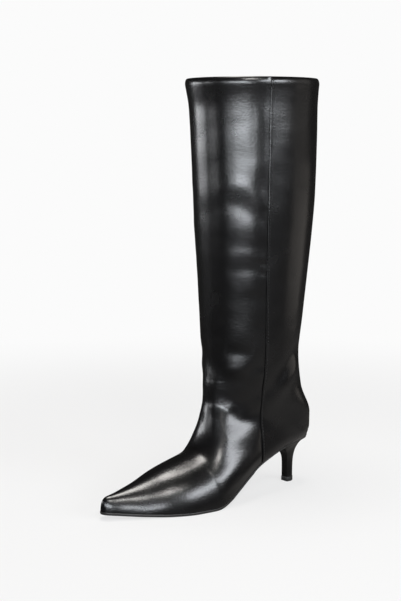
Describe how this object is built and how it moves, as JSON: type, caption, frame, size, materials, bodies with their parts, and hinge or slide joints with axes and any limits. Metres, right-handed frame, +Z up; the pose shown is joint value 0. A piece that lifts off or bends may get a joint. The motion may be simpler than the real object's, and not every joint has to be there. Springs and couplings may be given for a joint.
{
  "type": "knee-high boot",
  "caption": "Smooth leather knee-high pull-on boot with a pointed toe, lapped side seams, a turned collar edge and a slim kitten heel.",
  "frame": {"origin": "on the ground, under the middle of the boot's bounding box", "axes": "+Z up the shaft, -Y towards the toe, +X towards the outer side of the foot (a left boot)"},
  "size_m": [0.1194, 0.2588, 0.4275],
  "materials": {
    "upper_leather": "polished smooth black leather with a fine grain",
    "insole_lining": "matt charcoal lining leather",
    "outsole_resin": "thin black resin rubber sole with a satin edge",
    "heel_cover": "black leather wrapped round a moulded heel block, polished",
    "top_piece_rubber": "hard black rubber heel tip"
  },
  "bodies": {
    "root": {"upper": "upper_leather", "insole": "insole_lining", "outsole": "outsole_resin", "heel": "heel_cover", "heel_top_piece": "top_piece_rubber"}
  },
  "joints": []
}
